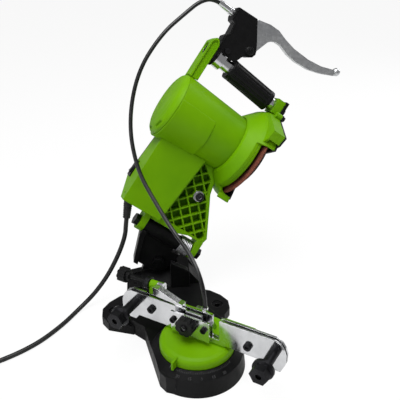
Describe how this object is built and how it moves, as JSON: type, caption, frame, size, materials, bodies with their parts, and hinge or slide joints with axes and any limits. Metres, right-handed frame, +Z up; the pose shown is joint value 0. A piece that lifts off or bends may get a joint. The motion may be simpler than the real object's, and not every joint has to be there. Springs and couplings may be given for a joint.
{
  "type": "electric chainsaw sharpener",
  "caption": "Bench grinder for saw chains with a tilting, swinging motor head, thin guarded wheel, grip with brake lever, and a swivelling chain vise clamped through a cable.",
  "frame": {"origin": "midpoint between the two bench bolt holes, on the underside", "axes": "+Z up from the bench, -Y towards the operator and the chain vise, +X to the operator's right"},
  "size_m": [0.7457, 0.4227, 0.4485],
  "materials": {
    "black_cast": "fine satin black paint",
    "black_plastic": "fine grain",
    "green_plastic": "satin",
    "chrome": "bright zinc and chrome",
    "steel": "bright",
    "dark_steel": "blackened",
    "aluminium": "satin cast",
    "abrasive": "red-brown bonded abrasive",
    "copper": "copper windings and bars",
    "rubber": "matt"
  },
  "bodies": {
    "base": {"base_plate": "black_cast", "column": "black_cast", "column_screws": "dark_steel", "tilt_bolt": "dark_steel", "power_cord": "rubber", "power_cord_coil": "rubber", "power_plug": "black_plastic", "clamp_cable": "rubber"},
    "tilt_lock": {"tilt_knob": "black_plastic"},
    "bracket": {"tilt_bracket": "black_cast", "swing_pin": "dark_steel", "return_spring": "steel"},
    "head": {"arm": "green_plastic", "arm_bolt": "chrome", "switch_box": "green_plastic", "box_cover": "black_plastic", "switch_bezel": "black_plastic", "strain_relief": "rubber", "motor_housing": "green_plastic", "end_cap": "green_plastic", "stator": "steel", "coils_and_brushes": "copper", "bearings": "steel", "wheel_guard": "green_plastic", "guard_cover": "black_plastic", "handle_posts": "green_plastic", "bracket_plate": "black_plastic", "head_screws": "dark_steel", "handle_tube": "chrome", "grip": "black_plastic", "clamp_band": "chrome", "clamp_bolt": "dark_steel", "lever_bracket": "black_plastic", "lever_pivot": "steel", "barrel_adjuster": "chrome"},
    "switch": {"rocker_switch": "black_plastic"},
    "rotor": {"armature": "steel", "commutator": "copper", "fan": "black_plastic", "wheel_flanges": "steel", "grinding_wheel": "abrasive", "arbor_nut": "steel"},
    "lever": {"brake_lever": "aluminium"},
    "vise": {"turntable": "green_plastic", "vise_frame": "green_plastic", "front_rail": "chrome", "rear_rail": "chrome", "vise_spacers": "steel", "vise_screws": "dark_steel", "guide_pins": "dark_steel", "guide_heads": "dark_steel", "jaw_plate": "chrome", "stop_nut": "dark_steel", "cable_ferrule": "chrome"},
    "vise_lock": {"vise_lock_knob": "black_plastic"},
    "jaw": {"clamp_jaw": "steel"},
    "jaw_set": {"jaw_knob": "black_plastic"},
    "stop_turn": {"stop_screw": "black_plastic"},
    "stop_flip": {"stop_finger": "chrome"}
  },
  "joints": [
    {"name": "head_tilt", "type": "hinge", "parent": "base", "child": "bracket", "pos_m": [-0.008, 0.066, 0.062], "axis": [0, 1, 0], "range_deg": [-37, 3], "deforming": ["power_cord", "clamp_cable"]},
    {"name": "head_swing", "type": "hinge", "parent": "bracket", "child": "head", "pos_m": [-0.00602, 0.066, 0.11298], "axis": [0.7986, 0, -0.6018], "range_deg": [0, 76], "stiffness_Nm_per_rad": 4, "springref_deg": -17.19, "deforming": ["power_cord", "clamp_cable"]},
    {"name": "wheel_spin", "type": "hinge", "parent": "head", "child": "rotor", "pos_m": [0.1352, 0.11746, 0.2173], "axis": [0.7986, 0, -0.6018], "continuous": true},
    {"name": "lever_pull", "type": "hinge", "parent": "head", "child": "lever", "pos_m": [0.14249, 0.15605, 0.36987], "axis": [-0.176, 0.9563, -0.2335], "range_deg": [0, 25], "stiffness_Nm_per_rad": 0.6, "springref_deg": -14.32},
    {"name": "rocker", "type": "hinge", "parent": "head", "child": "switch", "pos_m": [-0.03823, 0.11053, 0.204], "axis": [-0.176, 0.9563, -0.2335], "range_deg": [-14, 0]},
    {"name": "vise_turn", "type": "hinge", "parent": "base", "child": "vise", "pos_m": [0.038, -0.109, 0.034], "axis": [0, 0, 1], "range_deg": [-5, 75], "deforming": ["clamp_cable"]},
    {"name": "jaw_clamp", "type": "slide", "parent": "vise", "child": "jaw", "axis": [0.5736, 0.8192, 0], "range_m": [0, 0.0015]},
    {"name": "jaw_set_turn", "type": "hinge", "parent": "vise", "child": "jaw_set", "pos_m": [0.02456, -0.11424, 0.073], "axis": [-0.5736, -0.8192, 0], "continuous": true},
    {"name": "stop_screw_turn", "type": "hinge", "parent": "vise", "child": "stop_turn", "pos_m": [-0.02098, -0.0555, 0.1015], "axis": [0.8192, -0.5736, 0], "continuous": true},
    {"name": "stop_finger_flip", "type": "hinge", "parent": "vise", "child": "stop_flip", "pos_m": [-0.00705, -0.06525, 0.1015], "axis": [-0.8192, 0.5736, 0], "range_deg": [0, 110]},
    {"name": "vise_lock_turn", "type": "hinge", "parent": "vise", "child": "vise_lock", "pos_m": [0.038, -0.109, 0.01], "axis": [0, 0, 1], "range_deg": [-180, 0]},
    {"name": "tilt_lock_turn", "type": "hinge", "parent": "base", "child": "tilt_lock", "pos_m": [-0.008, 0.092, 0.062], "axis": [0, 1, 0], "range_deg": [-180, 0]}
  ],
  "couplings": [
    {"joint": "jaw_clamp", "follows": "lever_pull", "m_per_rad": 0.0034374}
  ]
}
